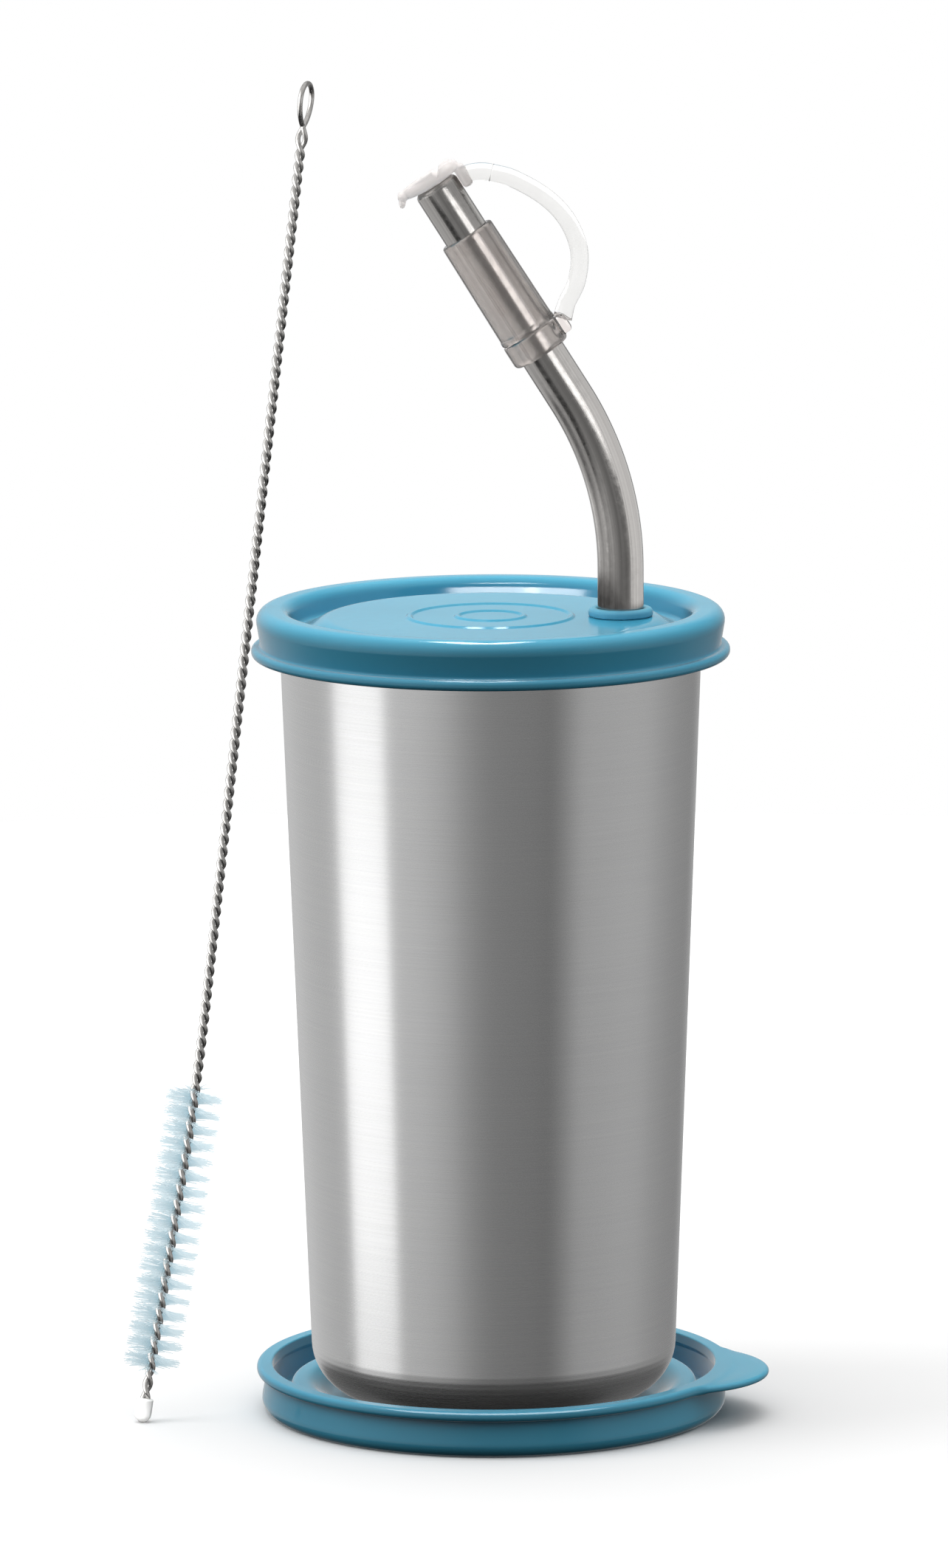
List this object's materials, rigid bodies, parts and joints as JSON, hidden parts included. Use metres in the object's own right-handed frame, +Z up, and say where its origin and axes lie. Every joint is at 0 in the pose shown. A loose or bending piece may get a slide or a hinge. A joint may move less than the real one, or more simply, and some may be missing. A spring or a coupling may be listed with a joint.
{
  "type": "straw sippy cup",
  "caption": "Tapered steel straw cup with a snap lid, a capped bent straw, a spare lid used as its coaster and a leaning straw brush.",
  "frame": {"origin": "on the cup's axis, in the plane of the floor that the coaster's crest stands on", "axes": "+Z up along the cup's axis, +X towards the coaster's pull tab (which is turned 9.5 degrees to the front), -Y to the front"},
  "size_m": [0.1131, 0.0902, 0.2333],
  "materials": {
    "lid_blue": "semi-gloss moulded polyethylene",
    "steel_brushed": "fine circumferential satin brushing",
    "grommet_blue": "smooth satin silicone",
    "steel_straw": "polished drawn tube",
    "silicone_clear": "clear silicone, slightly milky",
    "steel_wire": "drawn spring wire, twisted",
    "bristle_blue": "translucent nylon filament",
    "plastic_white": "smooth moulded bead"
  },
  "bodies": {
    "coaster": {"spare_lid": "lid_blue"},
    "cup": {"tumbler": "steel_brushed"},
    "lid": {"straw_lid": "lid_blue"},
    "grommet": {"straw_grommet": "grommet_blue"},
    "straw": {"straw": "steel_straw", "straw_sleeve": "silicone_clear"},
    "strap": {"cap_ring": "silicone_clear", "cap_strap": "silicone_clear"},
    "cap": {"straw_cap": "silicone_clear"},
    "brush": {"brush_stem": "steel_wire", "brush_bristles": "bristle_blue", "brush_tip": "plastic_white"}
  },
  "joints": [
    {"name": "cup_lift", "type": "slide", "parent": "coaster", "child": "cup", "axis": [0, 0, 1], "range_m": [0, 0.05]},
    {"name": "lid_lift", "type": "slide", "parent": "cup", "child": "lid", "axis": [0, 0, 1], "range_m": [0, 0.14]},
    {"name": "straw_turn", "type": "hinge", "parent": "lid", "child": "grommet", "pos_m": [0.0226, 0, 0.1405], "axis": [0, 0, 1], "continuous": true},
    {"name": "straw_lift", "type": "slide", "parent": "grommet", "child": "straw", "axis": [0, 0, 1], "range_m": [-0.004, 0.1]},
    {"name": "cap_turn", "type": "hinge", "parent": "straw", "child": "strap", "pos_m": [0.00333, 0, 0.19576], "axis": [-0.5329, 0, 0.8462], "continuous": true},
    {"name": "cap_flip", "type": "hinge", "parent": "strap", "child": "cap", "pos_m": [-0.00262, 0, 0.21778], "axis": [0, 1, 0], "range_deg": [0, 105]},
    {"name": "brush_slide", "type": "slide", "parent": "lid", "child": "brush", "axis": [-1, 0, 0], "range_m": [0, 0.06]}
  ]
}
